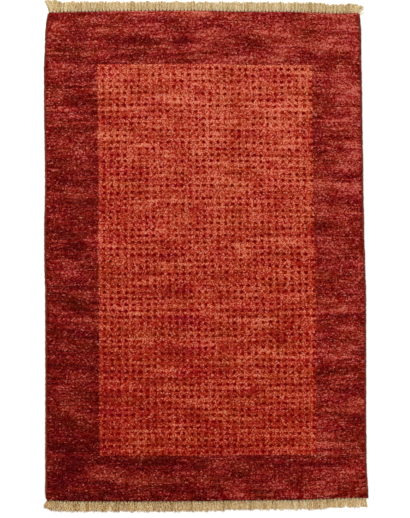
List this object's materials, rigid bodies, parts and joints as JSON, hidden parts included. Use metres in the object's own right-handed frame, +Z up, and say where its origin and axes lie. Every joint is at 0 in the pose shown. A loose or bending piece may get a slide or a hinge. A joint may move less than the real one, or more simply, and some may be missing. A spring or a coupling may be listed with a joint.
{
  "type": "pakistani rug",
  "caption": "Flat hand-knotted wool rug with a plain red border, a dotted lighter field, overcast side cords and a cut cotton fringe at both ends.",
  "frame": {"origin": "middle of the rug on the surface that it lies on, at the centre of the underside of its box", "axes": "+Z up from the floor through the pile, +Y along the warps towards the upper end in the picture, +X across the rug towards its right side"},
  "size_m": [0.842, 1.3384, 0.0109],
  "materials": {
    "wool_pile": "cut wool pile, red with lighter orange-red field and dark red dots",
    "overcast_wool": "wool yarn wound round the side cords",
    "cotton_warp": "undyed cotton yarn, cut"
  },
  "bodies": {
    "root": {"rug_pile": "wool_pile", "selvedge_left": "overcast_wool", "selvedge_right": "overcast_wool", "fringe_upper": "cotton_warp", "fringe_lower": "cotton_warp"}
  },
  "joints": []
}
